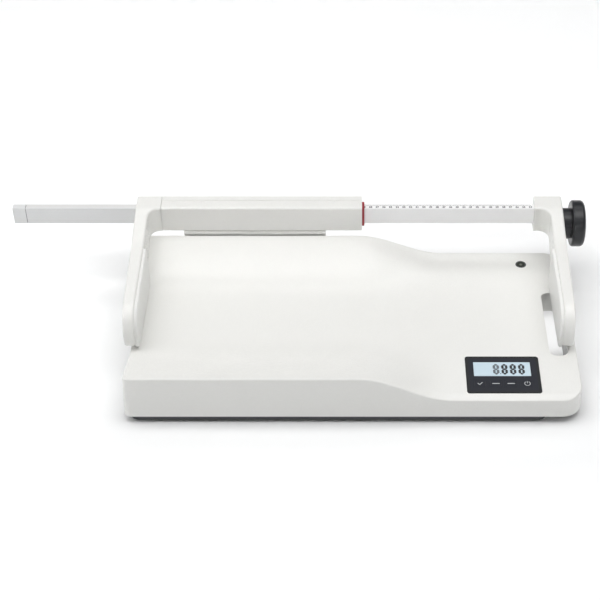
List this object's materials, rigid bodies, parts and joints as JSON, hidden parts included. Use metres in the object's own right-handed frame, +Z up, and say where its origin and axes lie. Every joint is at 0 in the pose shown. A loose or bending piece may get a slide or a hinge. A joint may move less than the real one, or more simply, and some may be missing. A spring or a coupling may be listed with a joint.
{
  "type": "digital baby weighing scale",
  "caption": "Cradle-shaped weighing tray on a flat base with a display and keys, with a sliding length rod and end stops along its back.",
  "frame": {"origin": "on the floor under the middle of the whole object's outline", "axes": "+Z up, +X along the length rod towards the foot stop and its knob, -Y towards the reader and the display's edge"},
  "size_m": [0.859, 0.3586, 0.1328],
  "materials": {
    "white_plastic": "moulded warm white plastic with a satin face",
    "pad_plastic": "smooth warm white contact pad",
    "dark_plastic": "anthracite moulded plastic",
    "panel_film": "slate grey printed film",
    "lcd_glass": "pale blue display glass",
    "circuit_board": "green board lacquer",
    "steel": "zinc-plated steel",
    "aluminium": "milled aluminium",
    "rubber": "soft rubber",
    "vial_glass": "tinted vial of a spirit level",
    "battery_sleeve": "plain sleeve",
    "rail_coat": "matt anodised light grey aluminium",
    "ruler_film": "white printed ruler film",
    "cap_plastic": "light grey plastic",
    "glide_plastic": "natural acetal",
    "ring_plastic": "signal red plastic",
    "brass": "turned brass",
    "knob_plastic": "anthracite soft-touch plastic"
  },
  "bodies": {
    "base": {"base_pan": "dark_plastic", "cell_screws": "steel", "batteries": "battery_sleeve", "battery_contacts": "steel", "weighing_board": "circuit_board", "load_cell_front_left": "aluminium", "load_cell_front_right": "aluminium", "load_cell_back_left": "aluminium", "load_cell_back_right": "aluminium"},
    "platform": {"tray_shell": "white_plastic", "cross_beam_left": "aluminium", "cross_beam_right": "aluminium", "platform_spine_front": "aluminium", "platform_spine_back": "aluminium", "platform_screws": "steel", "display_panel": "panel_film", "display_lcd": "lcd_glass", "display_board": "circuit_board", "key_domes": "steel", "display_tub": "dark_plastic", "level_cup": "dark_plastic", "level_vial": "vial_glass", "rod_bracket": "white_plastic", "bracket_screws": "steel", "housing_front": "white_plastic", "housing_back": "white_plastic", "glide_left": "glide_plastic", "glide_right": "glide_plastic", "reading_ring": "ring_plastic", "head_arm": "white_plastic", "head_pad": "pad_plastic", "load_buttons": "rubber"},
    "slider": {"rail": "rail_coat", "ruler_strip": "ruler_film", "rail_end_cap": "cap_plastic", "foot_arm": "white_plastic", "foot_pad": "pad_plastic", "clamp_shoe": "brass"},
    "knob": {"clamp_knob": "knob_plastic", "knob_bolt": "steel"},
    "battery_door": {"battery_door": "dark_plastic"},
    "key_confirm": {"key_confirm": "panel_film"},
    "key_hold": {"key_hold": "panel_film"},
    "key_mode": {"key_mode": "panel_film"},
    "key_power": {"key_power": "panel_film"},
    "foot_front_left": {"foot_sole_front_left": "rubber", "foot_stud_front_left": "steel"},
    "foot_front_right": {"foot_sole_front_right": "rubber", "foot_stud_front_right": "steel"},
    "foot_back_left": {"foot_sole_back_left": "rubber", "foot_stud_back_left": "steel"},
    "foot_back_right": {"foot_sole_back_right": "rubber", "foot_stud_back_right": "steel"}
  },
  "joints": [
    {"name": "platform_press", "type": "slide", "parent": "base", "child": "platform", "axis": [0, 0, 1], "range_m": [-0.0005, 0.0001], "stiffness_N_per_m": 400000, "springref_m": 0.00009, "deforming": ["load_buttons"]},
    {"name": "rail_slide", "type": "slide", "parent": "platform", "child": "slider", "axis": [1, 0, 0], "range_m": [-0.25, 0.18]},
    {"name": "clamp_knob_turn", "type": "hinge", "parent": "slider", "child": "knob", "pos_m": [0.4125, 0.14428, 0.0978], "axis": [1, 0, 0], "range_deg": [0, 540]},
    {"name": "battery_door_slide", "type": "slide", "parent": "base", "child": "battery_door", "axis": [1, 0, 0], "range_m": [0, 0.015]},
    {"name": "key_confirm_press", "type": "slide", "parent": "platform", "child": "key_confirm", "axis": [0, -0.037, 0.9993], "range_m": [-0.0004, 0], "stiffness_N_per_m": 2500, "springref_m": 0.0002},
    {"name": "key_hold_press", "type": "slide", "parent": "platform", "child": "key_hold", "axis": [0, -0.037, 0.9993], "range_m": [-0.0004, 0], "stiffness_N_per_m": 2500, "springref_m": 0.0002},
    {"name": "key_mode_press", "type": "slide", "parent": "platform", "child": "key_mode", "axis": [0, -0.037, 0.9993], "range_m": [-0.0004, 0], "stiffness_N_per_m": 2500, "springref_m": 0.0002},
    {"name": "key_power_press", "type": "slide", "parent": "platform", "child": "key_power", "axis": [0, -0.037, 0.9993], "range_m": [-0.0004, 0], "stiffness_N_per_m": 2500, "springref_m": 0.0002},
    {"name": "foot_front_left_screw", "type": "slide", "parent": "base", "child": "foot_front_left", "axis": [0, 0, 1], "range_m": [-0.006, 0]},
    {"name": "foot_front_right_screw", "type": "slide", "parent": "base", "child": "foot_front_right", "axis": [0, 0, 1], "range_m": [-0.006, 0]},
    {"name": "foot_back_left_screw", "type": "slide", "parent": "base", "child": "foot_back_left", "axis": [0, 0, 1], "range_m": [-0.006, 0]},
    {"name": "foot_back_right_screw", "type": "slide", "parent": "base", "child": "foot_back_right", "axis": [0, 0, 1], "range_m": [-0.006, 0]}
  ]
}
